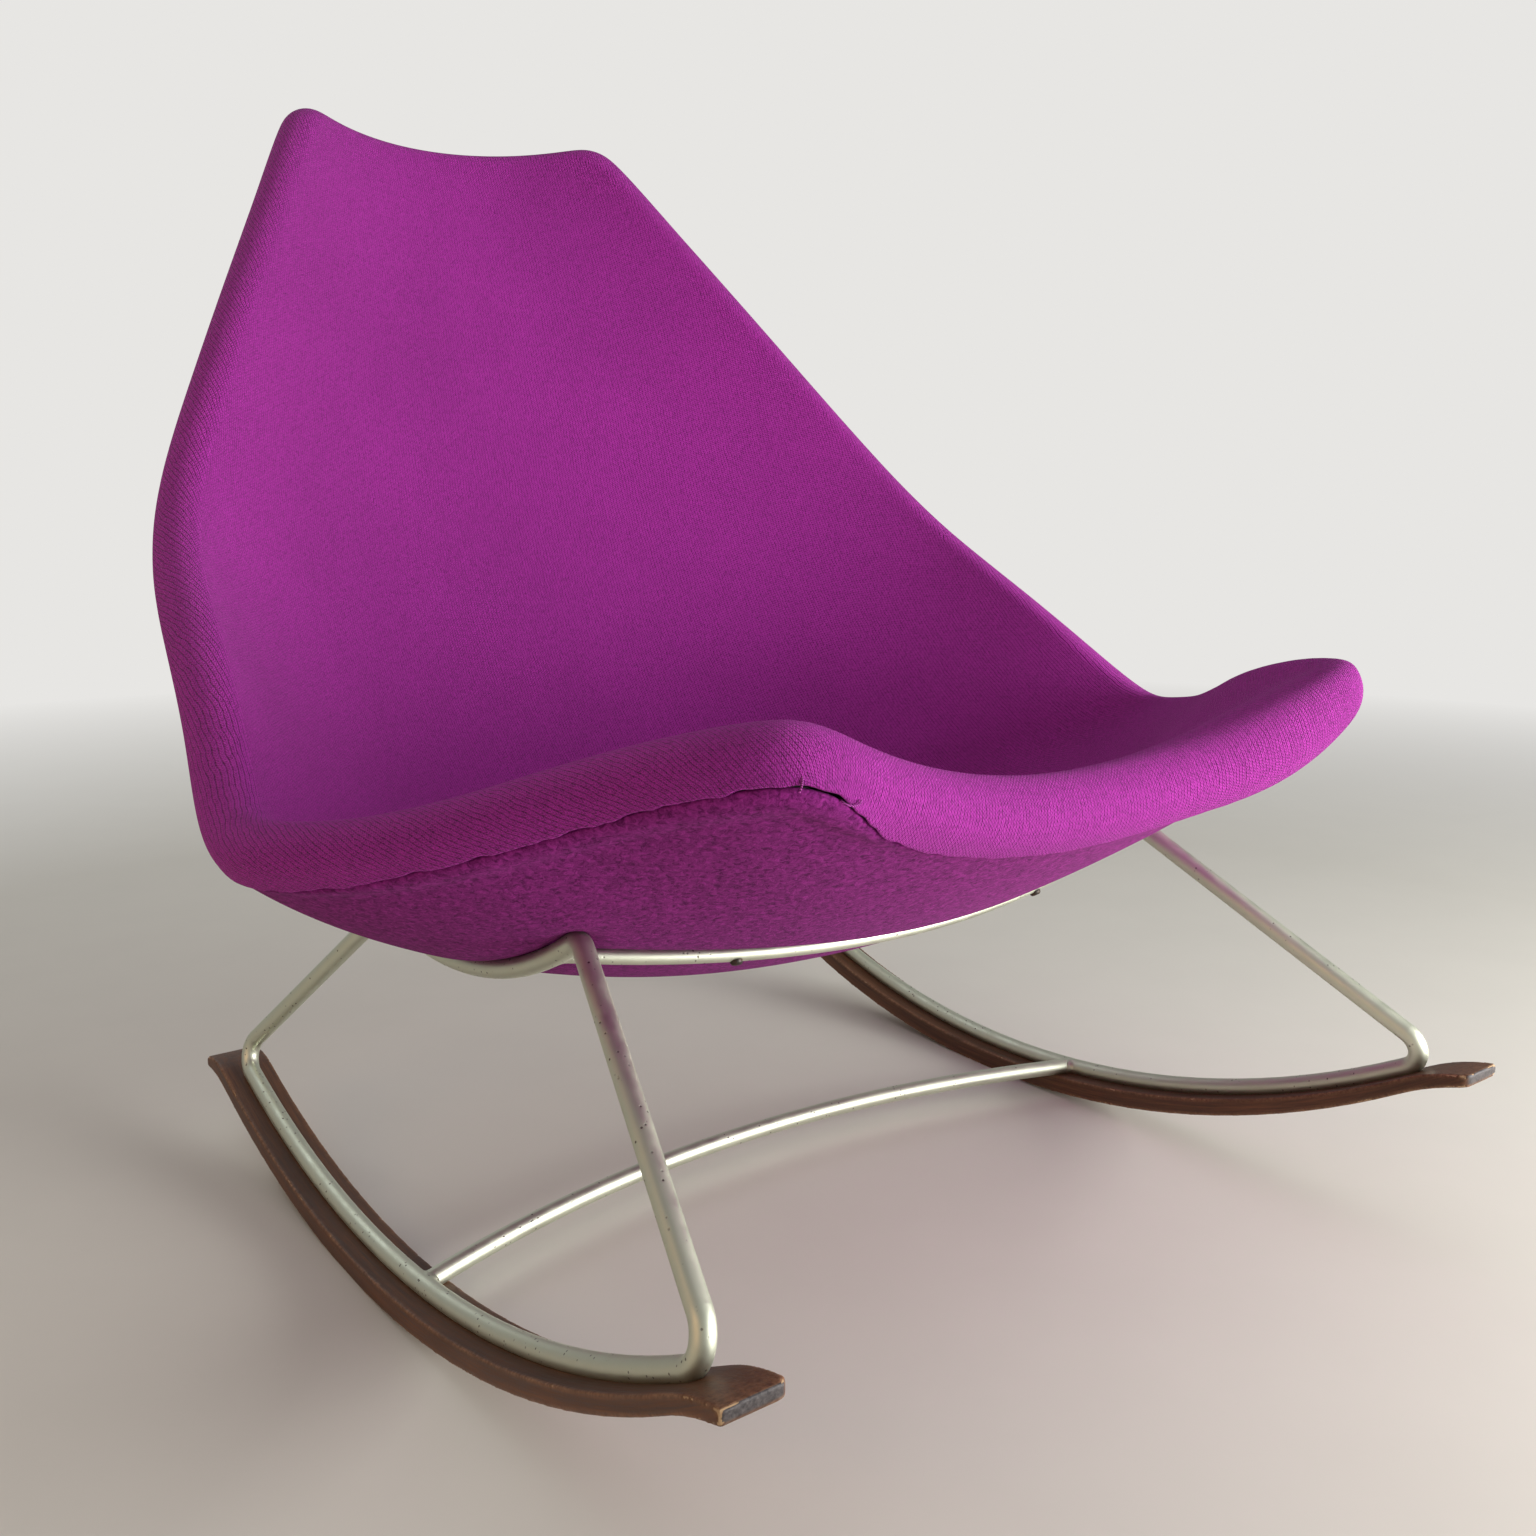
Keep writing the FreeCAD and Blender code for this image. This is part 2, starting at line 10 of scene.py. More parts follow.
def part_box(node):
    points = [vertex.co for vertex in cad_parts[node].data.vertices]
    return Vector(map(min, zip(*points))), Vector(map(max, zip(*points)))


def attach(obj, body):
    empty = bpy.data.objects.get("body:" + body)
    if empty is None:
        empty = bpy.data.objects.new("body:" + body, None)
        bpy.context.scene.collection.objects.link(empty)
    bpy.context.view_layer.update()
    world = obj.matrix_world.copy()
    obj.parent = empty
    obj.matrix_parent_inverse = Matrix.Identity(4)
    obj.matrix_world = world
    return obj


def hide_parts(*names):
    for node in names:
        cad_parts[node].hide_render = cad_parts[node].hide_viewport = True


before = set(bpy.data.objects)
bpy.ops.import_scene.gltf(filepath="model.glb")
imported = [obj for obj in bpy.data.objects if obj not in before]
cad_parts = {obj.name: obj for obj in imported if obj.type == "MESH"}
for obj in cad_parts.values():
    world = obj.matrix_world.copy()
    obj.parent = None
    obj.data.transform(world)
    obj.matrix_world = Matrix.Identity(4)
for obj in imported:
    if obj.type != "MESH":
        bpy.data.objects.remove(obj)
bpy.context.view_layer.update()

bpy.ops.object.select_all(action="DESELECT")
MM = 0.001

# The studio: a pale floor that fades into the backdrop, a large soft lamp at the front on the chair's left,
# and weaker ones low in front, above, at the right and behind. The camera stands at seat height, in front of
# the chair and to its right.
CAMERA_PLACE = (-0.68295, -0.96183, 0.55568)
CAMERA_TURN = (79.11, 0.0, -36.72)
CAMERA_LENS = 34.88
FLOOR_RADIUS = 14.0
FLOOR_LIGHTER = 1.06
FLOOR_FADE = (1.3, 3.2)
FLOOR_COLOUR = (0.71, 0.69, 0.62, 1.0)
BACKDROP_COLOUR = (0.80, 0.79, 0.77, 1.0)
SKY_LIGHT = 0.31
LAMP_AIM = (0.0, 0.0, 0.4)
# Name, place, width, height, power and colour of each lamp
LAMPS = (
    ("key_lamp", (1.60, -1.70, 0.60), 1.3, 0.8, 48.0, (1.0, 0.98, 0.97)),
    ("front_lamp", (0.60, -1.45, 0.34), 0.7, 0.4, 12.5, (1.0, 0.98, 0.98)),
    ("top_lamp", (0.6, -0.5, 2.6), 1.6, 1.6, 4.0, (1.0, 1.0, 1.0)),
    ("side_lamp", (-2.4, -0.3, 0.9), 1.6, 1.2, 8.5, (1.0, 0.56, 0.28)),
    ("back_lamp", (-0.4, 2.6, 2.4), 1.8, 1.8, 14.0, (0.92, 0.97, 1.0)),
)


def add_node(tree, kind, inputs=(), **settings):
    """One shader node with its settings, its plain values and the sockets that feed it."""
    node = tree.nodes.new(kind)
    for name, value in settings.items():
        setattr(node, name, value)
    for name, value in dict(inputs).items():
        if isinstance(value, bpy.types.NodeSocket):
            tree.links.new(value, node.inputs[name])
        else:
            node.inputs[name].default_value = value
    return node


def new_finish(name, **values):
    """An empty procedural material: its node tree and its shader, with the even values set on the shader."""
    finish = bpy.data.materials.new(name)
    finish.use_nodes = True
    shader = finish.node_tree.nodes["Principled BSDF"]
    for socket, value in values.items():
        shader.inputs[socket.replace("_", " ")].default_value = value
    return finish, finish.node_tree, shader


def math_node(tree, operation, *values, clamp=False):
    """Sum, product or other reckoning of one, two or three values."""
    inputs = dict(enumerate(values))
    return add_node(tree, "ShaderNodeMath", inputs, operation=operation, use_clamp=clamp).outputs[0]


def noise(tree, place, scale, detail=2.0, roughness=0.5):
    """Cloudy pattern, so many clouds to the metre."""
    values = {"Vector": place, "Scale": scale, "Detail": detail, "Roughness": roughness}
    return add_node(tree, "ShaderNodeTexNoise", values).outputs["Fac"]


def between(tree, value, low, high):
    """0 below low, 1 above high and even in between."""
    values = {"Value": value, "From Min": low, "From Max": high}
    return add_node(tree, "ShaderNodeMapRange", values).outputs["Result"]


def mix_colours(tree, share, first, second):
    """The second colour over the first, by its share."""
    node = add_node(tree, "ShaderNodeMix", {"Factor": share}, data_type="RGBA")
    for index, colour in ((6, first), (7, second)):
        if isinstance(colour, bpy.types.NodeSocket):
            tree.links.new(colour, node.inputs[index])
        else:
            node.inputs[index].default_value = colour
    return node.outputs[2]


def bump(tree, height, distance, strength=1.0):
    """Fine relief of that height."""
    values = {"Height": height, "Distance": distance, "Strength": strength}
    return add_node(tree, "ShaderNodeBump", values).outputs["Normal"]


bpy.ops.mesh.primitive_circle_add(vertices=128, radius=FLOOR_RADIUS, fill_type="NGON")
floor = bpy.context.object
floor.name = "floor"
floor_paint, tree, shader = new_finish("floor_paint", Roughness=0.75)
place = add_node(tree, "ShaderNodeTexCoord").outputs["Object"]
cloud = noise(tree, place, 9.0, 6.0, 0.6)
pale = [value * FLOOR_LIGHTER for value in FLOOR_COLOUR[:3]] + [1.0]
tree.links.new(mix_colours(tree, cloud, FLOOR_COLOUR, pale), shader.inputs["Base Color"])
far_off = add_node(tree, "ShaderNodeVectorMath", {0: place}, operation="LENGTH").outputs["Value"]
rays = add_node(tree, "ShaderNodeLightPath")
fade = math_node(tree, "MULTIPLY", between(tree, far_off, *FLOOR_FADE), rays.outputs["Is Camera Ray"])
haze = add_node(tree, "ShaderNodeEmission", {"Color": BACKDROP_COLOUR})
blend = add_node(tree, "ShaderNodeMixShader", {"Fac": fade})
tree.links.new(shader.outputs[0], blend.inputs[1])
tree.links.new(haze.outputs[0], blend.inputs[2])
tree.links.new(blend.outputs[0], tree.nodes["Material Output"].inputs["Surface"])
floor.data.materials.append(floor_paint)

world = bpy.data.worlds.new("studio")
bpy.context.scene.world = world
world.use_nodes = True
tree = world.node_tree
backdrop = tree.nodes["Background"]
backdrop.inputs["Color"].default_value = (1.0, 1.0, 1.0, 1.0)
backdrop.inputs["Strength"].default_value = SKY_LIGHT
shown = add_node(tree, "ShaderNodeBackground", {"Color": BACKDROP_COLOUR, "Strength": 1.0})
rays = add_node(tree, "ShaderNodeLightPath")
seen = math_node(tree, "MAXIMUM", rays.outputs["Is Camera Ray"], rays.outputs["Is Transmission Ray"])
blend = add_node(tree, "ShaderNodeMixShader", {"Fac": seen})
tree.links.new(backdrop.outputs[0], blend.inputs[1])
tree.links.new(shown.outputs[0], blend.inputs[2])
tree.links.new(blend.outputs[0], tree.nodes["World Output"].inputs["Surface"])

for name, spot, width, height, power, colour in LAMPS:
    bpy.ops.object.light_add(type="AREA", location=spot)
    lamp = bpy.context.object
    lamp.name = name
    lamp.data.shape = "RECTANGLE"
    lamp.data.size = width
    lamp.data.size_y = height
    lamp.data.energy = power
    lamp.data.color = colour
    lamp.rotation_euler = (Vector(LAMP_AIM) - Vector(spot)).to_track_quat("-Z", "Y").to_euler()

bpy.ops.object.camera_add(location=CAMERA_PLACE, rotation=[math.radians(angle) for angle in CAMERA_TURN])
camera = bpy.context.object
camera.data.lens = CAMERA_LENS
bpy.context.scene.camera = camera
bpy.context.scene.view_settings.view_transform = "Standard"


# The runners: two planks of bentwood, stained dark brown, grooved along the top for the steel rod.
# The stain is worn thin along the edges and chipped to pale wood, most of all at the turned-up tips. The
# faces that look up at the tips are also painted lighter, as a painted sheen.
RUNNER_VOXEL = 1.25 * MM
RUNNER_ARC = (0.0, 845.5)
FRONT_TIP = (-0.425, -0.462)
REAR_TIP = (0.285, 0.316)
CHIP_DEPTH = 0.8 * MM
EDGE_SHARPNESS = (0.03, 0.12)
REAR_TIP_SHARE = 0.8
OUTER_EDGE = (0.325, 0.338)
CLOUDS_PER_METRE = 55
CRUMBS_PER_METRE = 260
# How likely an edge is to chip: anywhere, at the tips, at the tips' outer corners, by cloud and by crumb
EDGE_CHIPS = 0.72
TIP_CHIPS = 0.10
CORNER_CHIPS = 0.42
CLOUD_CHIPS = 0.42
CRUMB_CHIPS = 0.34
CHIP_START = (0.94, 1.04)
CHIP_EDGE = (0.1, 0.3)
FACING_ALONG = (0.6, 0.8)
FACING_UP = (0.6, 0.9)
TIP_START = (0.3, 0.6)
# Share of the worn-edge colour painted on the upward faces at the tips, as a painted sheen
TIP_TOP_SHEEN = 0.55
RUB = 0.75
RUB_PATCHES = 0.5
STAIN_DARK = (0.042, 0.0155, 0.0062, 1.0)
STAIN_LIGHT = (0.255, 0.102, 0.042, 1.0)
# Colour of the worn edges, also used for the painted sheen on the tips' upward faces
STAIN_RUBBED_AND_SHEEN = (0.340, 0.185, 0.095, 1.0)
END_DARK = (0.030, 0.025, 0.026, 1.0)
END_LIGHT = (0.115, 0.100, 0.098, 1.0)
BARE_DARK = (0.30, 0.165, 0.075, 1.0)
BARE_LIGHT = (0.62, 0.44, 0.25, 1.0)


def own_copy(node, name):
    """A new piece that starts as a copy of a CAD body, its loose triangles joined up."""
    bpy.ops.object.select_all(action="DESELECT")
    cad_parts[node].select_set(True)
    bpy.context.view_layer.objects.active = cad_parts[node]
    bpy.ops.object.duplicate()
    piece = bpy.context.object
    piece.name = name
    piece.data.name = name
    piece.data.materials.clear()
    bpy.ops.object.mode_set(mode="EDIT")
    bpy.ops.mesh.select_all(action="SELECT")
    bpy.ops.mesh.remove_doubles(threshold=0.01 * MM)
    bpy.ops.object.mode_set(mode="OBJECT")
    return piece


def apply_modifier(piece, kind, **settings):
    """Adds a modifier with its settings and makes it part of the mesh."""
    bpy.context.view_layer.objects.active = piece
    modifier = piece.modifiers.new(kind.lower(), kind)
    for name, value in settings.items():
        setattr(modifier, name, value)
    bpy.ops.object.modifier_apply(modifier=modifier.name)


def read_points(piece, what="co"):
    """Places, or normals, of all the vertices of a piece."""
    points = np.empty(len(piece.data.vertices) * 3)
    piece.data.vertices.foreach_get(what, points)
    return points.reshape(-1, 3)


def move_points(piece, points):
    piece.data.vertices.foreach_set("co", points.ravel())
    piece.data.update()


def neighbour_mean(piece):
    """A reckoner of the mean of a value over the vertices next to each vertex."""
    ends = np.empty(len(piece.data.edges) * 2, int)
    piece.data.edges.foreach_get("vertices", ends)
    ends = np.concatenate([ends.reshape(-1, 2), ends.reshape(-1, 2)[:, ::-1]])
    count = np.bincount(ends[:, 0], minlength=len(piece.data.vertices))
    return lambda values: np.bincount(ends[:, 0], weights=values[ends[:, 1]], minlength=len(count)) / count


def eased(value, start, end):
    return np.clip((value - start) / (end - start), 0.0, 1.0)


def store(piece, name, values):
    """Keeps a value, or a vector, for each vertex, for the material to read."""
    kind, field = ("FLOAT", "value") if values.ndim == 1 else ("FLOAT_VECTOR", "vector")
    piece.data.attributes.new(name, kind, "POINT").data.foreach_set(field, values.ravel())


def read_value(tree, name):
    return add_node(tree, "ShaderNodeAttribute", attribute_name=name).outputs["Fac"]


stained_wood, tree, shader = new_finish("stained_wood", Specular_IOR_Level=0.38)
place = add_node(tree, "ShaderNodeTexCoord").outputs["Object"]
lay = add_node(tree, "ShaderNodeAttribute", attribute_name="grain_lay").outputs["Vector"]
lengthwise = add_node(tree, "ShaderNodeMapping", {"Vector": lay, "Scale": (1.0, 0.035, 1.0)}).outputs[0]
grain = noise(tree, lengthwise, 900.0, 4.0, 0.65)
streaks = noise(tree, lengthwise, 160.0, 4.0, 0.6)
tone = math_node(tree, "MULTIPLY", between(tree, grain, 0.25, 0.75), between(tree, streaks, 0.2, 0.8))
stain = mix_colours(tree, tone, STAIN_DARK, STAIN_LIGHT)
scuffs = noise(tree, place, 350.0, 4.0, 0.7)
# Worn edges and the painted sheen on the tips' upward faces both lighten the stain
rubbed_and_sheen = math_node(tree, "MULTIPLY", read_value(tree, "rubbed_and_sheen"), between(tree, scuffs, 0.30, 0.62))
stain = mix_colours(tree, rubbed_and_sheen, stain, STAIN_RUBBED_AND_SHEEN)
end_grain = mix_colours(tree, between(tree, scuffs, 0.35, 0.75), END_DARK, END_LIGHT)
stain = mix_colours(tree, read_value(tree, "end_face"), stain, end_grain)
bare = mix_colours(tree, grain, BARE_DARK, BARE_LIGHT)
chipped = between(tree, read_value(tree, "chipped"), 0.35, 0.65)
tree.links.new(mix_colours(tree, chipped, stain, bare), shader.inputs["Base Color"])
tree.links.new(between(tree, grain, -0.5, 1.4), shader.inputs["Roughness"])
relief = math_node(tree, "ADD", grain, math_node(tree, "MULTIPLY", scuffs, 0.6))
tree.links.new(bump(tree, relief, 0.0003, 0.6), shader.inputs["Normal"])

for node in ("left_runner", "right_runner"):
    runner = own_copy(node, node + "_worn")
    apply_modifier(runner, "REMESH", mode="VOXEL", voxel_size=RUNNER_VOXEL, use_smooth_shade=True)
    apply_modifier(runner, "SMOOTH", factor=0.5, iterations=1)
    points, normals = read_points(runner), read_points(runner, "normal")
    mean = neighbour_mean(runner)
    sunk = points - np.stack([mean(axis) for axis in points.T], -1)
    edge_wear = eased((sunk * normals).sum(1) / RUNNER_VOXEL, *EDGE_SHARPNESS)
    edge_wear = np.maximum(edge_wear, mean(edge_wear))
    tip = np.maximum(eased(points[:, 1], *FRONT_TIP), REAR_TIP_SHARE * eased(points[:, 1], *REAR_TIP))
    cloud = np.array([lumps.noise(point) for point in points * CLOUDS_PER_METRE])
    crumbs = np.array([lumps.noise(point) for point in points * CRUMBS_PER_METRE])
    outer = eased(np.abs(points[:, 0]), *OUTER_EDGE)
    likely = edge_wear * (EDGE_CHIPS + TIP_CHIPS * tip + CORNER_CHIPS * tip * outer)
    likely = likely + CLOUD_CHIPS * cloud + CRUMB_CHIPS * crumbs
    chipped = eased(likely, *CHIP_START) * eased(edge_wear, *CHIP_EDGE)
    move_points(runner, points - normals * (chipped * CHIP_DEPTH)[:, None])
    spoke = points[:, 1:] - np.array(RUNNER_ARC) * MM
    far_off = np.linalg.norm(spoke, axis=1)
    run = np.arctan2(spoke[:, 0], -spoke[:, 1]) * far_off.mean()
    store(runner, "grain_lay", np.stack([points[:, 0], run, far_off], -1))
    endwise = np.abs(normals[:, 1] * -spoke[:, 1] + normals[:, 2] * spoke[:, 0]) / far_off
    store(runner, "end_face", eased(endwise, *FACING_ALONG) * eased(tip, *TIP_START))
    # The upward faces at the tips get a painted sheen, stored together with the worn edges
    tip_top_sheen = TIP_TOP_SHEEN * tip * eased(normals[:, 2], *FACING_UP)
    store(runner, "rubbed_and_sheen", np.clip(edge_wear * (RUB + RUB_PATCHES * cloud) + tip_top_sheen, 0.0, 1.0))
    store(runner, "chipped", chipped)
    runner.data.materials.append(stained_wood)
    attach(runner, "root")
    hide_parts(node)


# The steel frame: two bent rod loops, the low stretcher between them and the two bars under the bowl.
# Satin chrome, a little pitted with age. The bars and the stretcher are welded to the loops.
STEEL_COLOUR = (0.66, 0.69, 0.56, 1.0)
PIT_COLOUR = (0.16, 0.14, 0.12, 1.0)

satin_steel, tree, shader = new_finish("satin_steel", Metallic=1.0)
place = add_node(tree, "ShaderNodeTexCoord").outputs["Object"]
haze = noise(tree, place, 60.0, 4.0, 0.6)
specks = add_node(tree, "ShaderNodeTexVoronoi", {"Vector": place, "Scale": 210.0}).outputs["Distance"]
rare = noise(tree, place, 45.0, 2.0, 0.5)
pits = math_node(tree, "MULTIPLY", between(tree, specks, 0.19, 0.11), between(tree, rare, 0.47, 0.56))
tree.links.new(mix_colours(tree, pits, STEEL_COLOUR, PIT_COLOUR), shader.inputs["Base Color"])
tree.links.new(between(tree, haze, -0.9, 1.9), shader.inputs["Roughness"])
tree.links.new(bump(tree, pits, -0.0003, 0.6), shader.inputs["Normal"])

for name in ("left_side_frame", "right_side_frame", "lower_stretcher", "front_seat_bar", "rear_seat_bar"):
    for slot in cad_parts[name].material_slots:
        slot.material = satin_steel


# The welds: where the stretcher and the bars meet the loops, the weld is dressed to a small smooth flare.
# Each is a collar that lies on both rods.
LOOP_RADIUS = 7.0
WELD_REACH = 3.4
WELD_STEPS = 5
WELD_WIDEST = 0.97
WELD_ROOT = 1.2
WELD_SKIN = 0.05
WELD_LIP = (1.0, 0.5)
WELD_SEGMENTS = 48
# The thinner rod's radius, its left end, its middle, and the centre (y, z) of the loop's bow that it meets
JOINTS = (
    ("stretcher", 6.7, (320.0, -87.5, 25.15), (0.0, -25.5, 25.15), (0.0, 845.5)),
    ("front_bar", 5.0, (257.0, -168.0, 265.49), (0.0, -210.0, 245.0), (10.0, 612.5)),
    ("rear_bar", 5.0, (257.0, 66.0, 226.54), (0.0, 84.0, 183.0), (10.0, 612.5)),
)


def unit(vectors):
    return vectors / np.linalg.norm(vectors, axis=-1, keepdims=True)


turn = np.linspace(0, 2 * np.pi, WELD_SEGMENTS, endpoint=False)[:, None]
for name, radius, end, middle, bow_centre in JOINTS:
    for side_name, side in (("left", 1), ("right", -1)):
        joint = np.array(end) * (side, 1, 1)
        bow = np.array(middle) - (0.0, end[1], end[2])
        rise = np.linalg.norm(bow)
        slope = math.atan2(end[0], (end[0] ** 2 + rise**2) / (2 * rise) - rise)
        away = bow / rise * math.sin(slope) - np.array((side * math.cos(slope), 0.0, 0.0))
        spoke = unit(joint - (joint[0], *bow_centre))
        loop_way = np.array((0.0, -spoke[2], spoke[1]))
        upright = unit(np.cross(away, loop_way))
        around = upright * np.cos(turn) + np.cross(upright, away) * np.sin(turn)
        # Both directions as seen along the loop's rod, to lie on its round
        away_flat = away - loop_way * (away @ loop_way)
        around_flat = around - loop_way * (around @ loop_way)[:, None]
        width = np.linalg.norm(around_flat, axis=1)
        foot = np.minimum(radius + WELD_REACH, WELD_WIDEST * LOOP_RADIUS / width)

        def on_loop(out):
            """How far along the thinner rod the loop's skin lies, at that distance from the rod's axis."""
            half = out * (around_flat @ away_flat)
            square = half**2 - (away_flat @ away_flat) * ((out * width) ** 2 - LOOP_RADIUS**2)
            return (np.sqrt(np.maximum(square, 0.0)) - half) / (away_flat @ away_flat)

        section = [(foot, on_loop(foot) - WELD_ROOT)]
        for part_way in np.linspace(0, 1, WELD_STEPS):
            out = radius + WELD_SKIN + (foot - radius) * (1 - part_way) ** 2
            section.append((out, on_loop(out) + WELD_REACH * part_way**2))
        section.append((foot * 0 + radius - WELD_LIP[0], section[-1][1] - WELD_LIP[1]))
        rings = [joint + away * along[:, None] + around * out[:, None] for out, along in section]
        bpy.ops.mesh.primitive_torus_add(major_segments=WELD_SEGMENTS, minor_segments=len(rings))
        weld = bpy.context.object
        weld.name = side_name + "_" + name + "_weld"
        weld.data.name = weld.name
        move_points(weld, np.stack(rings, 1).reshape(-1, 3) * MM)
        bpy.ops.object.mode_set(mode="EDIT")
        bpy.ops.mesh.select_all(action="SELECT")
        bpy.ops.mesh.normals_make_consistent(inside=False)
        bpy.ops.object.mode_set(mode="OBJECT")
        bpy.ops.object.shade_smooth()
        weld.data.materials.append(satin_steel)
        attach(weld, "root")


# The fasteners: screws through the bars and the runners, with their spacers and nuts inside the body.
# Plain steel gone dark and a little rusty.
OLD_STEEL = (0.060, 0.052, 0.046, 1.0)
RUST = (0.115, 0.060, 0.032, 1.0)

dark_steel, tree, shader = new_finish("dark_steel", Metallic=0.85)
place = add_node(tree, "ShaderNodeTexCoord").outputs["Object"]
stains = noise(tree, place, 380.0, 5.0, 0.65)
rusty = between(tree, stains, 0.45, 0.7)
tree.links.new(mix_colours(tree, rusty, OLD_STEEL, RUST), shader.inputs["Base Color"])
tree.links.new(between(tree, stains, -0.3, 1.2), shader.inputs["Roughness"])
tree.links.new(bump(tree, stains, 0.0002, 0.5), shader.inputs["Normal"])
for name in (
    "front_bar_screws",
    "rear_bar_screws",
    "front_bar_spacers",
    "rear_bar_spacers",
    "front_shell_nuts",
    "rear_shell_nuts",
    "left_runner_screws",
    "right_runner_screws",
):
    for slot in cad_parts[name].material_slots:
        slot.material = dark_steel


# The moulded shell: a hard bucket inside the upholstery that the bars bolt to. Grey moulded fibre,
# out of sight between the foam and the underside felt.
FIBRE_DARK = (0.16, 0.16, 0.15, 1.0)
FIBRE_LIGHT = (0.26, 0.25, 0.23, 1.0)

moulded_fibre, tree, shader = new_finish("moulded_fibre", Roughness=0.6)
place = add_node(tree, "ShaderNodeTexCoord").outputs["Object"]
fibres = noise(tree, place, 260.0, 6.0, 0.7)
tree.links.new(mix_colours(tree, fibres, FIBRE_DARK, FIBRE_LIGHT), shader.inputs["Base Color"])
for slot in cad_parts["seat_shell"].material_slots:
    slot.material = moulded_fibre


# The padded body: foam over the shell with a round foam roll along every edge, all under one knitted
# wool cover that is drawn tight over the sitting side and round the roll, and turned under to the seam.
# Rib numbers, and the roll's half height and its reach past the rim there
ROLL_RIBS = (0.0, 2.5, 4.0, 6.0, 8.0, 10.0, 13.0, 14.0)
ROLL_HEIGHTS = (24.0, 23.0, 21.0, 21.0, 21.0, 20.0, 19.0, 19.0)
ROLL_DEPTHS = (24.0, 23.0, 21.0, 19.0, 18.6, 18.6, 18.6, 18.6)
ROLL_REACHES = (24.0, 22.0, 20.0, 15.0, 13.5, 13.5, 15.0, 17.0)
# Beside the left-hand horn the roll is stuffed fuller than on the right, the rim behind it stands higher,
# and the nose of the horn droops
HORN_FULLNESS = 0.42
HORN_FULL_SPOT = 60.0
HORN_FULL_WIDTH = 75.0
WING_LIFT = 9.0
WING_RIB = 3.4
WING_SPREAD = 1.8
NOSE_DROOP = 9.0
NOSE_SPREAD = 0.9
SEAT_HOLLOW = 4.0
BACK_HOLLOW = 22.0
HOLLOW_FALL = 1.5
# Ribs between which the seat becomes the back, and over which the hollow fades at the front and the top
BACK_START = (6, 9)
FRONT_FADE = (0, 2)
TOP_FADE = (0, 3)
NEAR_RIM = (0.6, 1.0)
SEAM_INSET = 6.0
CORNER_POWER = 26
COVER_CELLS = (100, 190)
GRID_EDGE = 1 - 1e-6
# Ribs of the form from the front edge to the top edge: middle (y, z), then rim (x, y, z)
RIBS = np.array(
    [
        (-359, 359, 229, -379, 417),
        (-284, 311, 258, -346, 409),
        (-216, 273, 292, -290, 391),
        (-150, 241, 335, -236, 369),
        (-80, 214, 378, -178, 351),
        (-5, 200, 410, -122, 343),
        (70, 204, 418, -66, 350),
        (140, 233, 404, 10, 398),
        (205, 286, 390, 95, 452),
        (262, 360, 376, 165, 497),
        (310, 437, 350, 228, 555),
        (355, 525, 306, 287, 632),
        (402, 630, 260, 341, 709),
        (455, 740, 207, 402, 796),
        (519, 865, 155, 463, 881),
    ],
    float,
)
LAST_RIB = len(RIBS) - 1


def smooth_line(points):
    """Evenly bending line through the rib points, for any rib number."""
    inner = len(points) - 2
    stiffness = 4 * np.eye(inner) + np.eye(inner, k=1) + np.eye(inner, k=-1)
    bend = np.zeros_like(points)
    bend[1:-1] = np.linalg.solve(stiffness, 6 * (points[2:] - 2 * points[1:-1] + points[:-2]))

    def at(rib):
        start = np.clip(np.floor(rib).astype(int), 0, LAST_RIB - 1)
        after = (rib - start)[..., None]
        before = 1 - after
        straight = before * points[start] + after * points[start + 1]
        return straight + ((before**3 - before) * bend[start] + (after**3 - after) * bend[start + 1]) / 6

    return at


middle_line = smooth_line(RIBS[:, :2])
rim_line = smooth_line(RIBS[:, 2:])


def form_point(rib, share):
    """Point of the form's middle surface: rib number along it, share from -1 to 1 across it."""
    middle, rim = middle_line(rib), rim_line(rib)
    rise = rim[..., 1:] - middle
    depth = np.linalg.norm(rise, axis=-1)
    radius = (rim[..., 0] ** 2 + depth**2) / (2 * depth)
    turn = np.arctan2(rim[..., 0], radius - depth) * share
    height = radius * (1 - np.cos(turn)) / depth
    up = middle + rise * height[..., None]
    return np.stack([radius * np.sin(turn), up[..., 0], up[..., 1]], -1)


def half_arc(rib):
    """Length of a rib from its middle to its rim."""
    middle, rim = middle_line(rib), rim_line(rib)
    depth = np.linalg.norm(rim[..., 1:] - middle, axis=-1)
    radius = (rim[..., 0] ** 2 + depth**2) / (2 * depth)
    return radius * np.arctan2(rim[..., 0], radius - depth)


def form_up(rib, share):
    """Direction square to the middle surface, towards the sitter."""
    step = 0.002
    along = form_point(rib + step, share) - form_point(rib - step, share)
    across = form_point(rib, share + step) - form_point(rib, share - step)
    return unit(np.cross(across, along))


fine_ribs = np.linspace(0, LAST_RIB, 40 * LAST_RIB + 1)
rib_steps = np.linalg.norm(np.diff(rim_line(fine_ribs), axis=0), axis=1)
rib_steps = (rib_steps + np.linalg.norm(np.diff(middle_line(fine_ribs), axis=0), axis=1)) / 2
rib_lengths = np.concatenate([[0.0], np.cumsum(rib_steps)])
FORM_LENGTH = rib_lengths[-1]


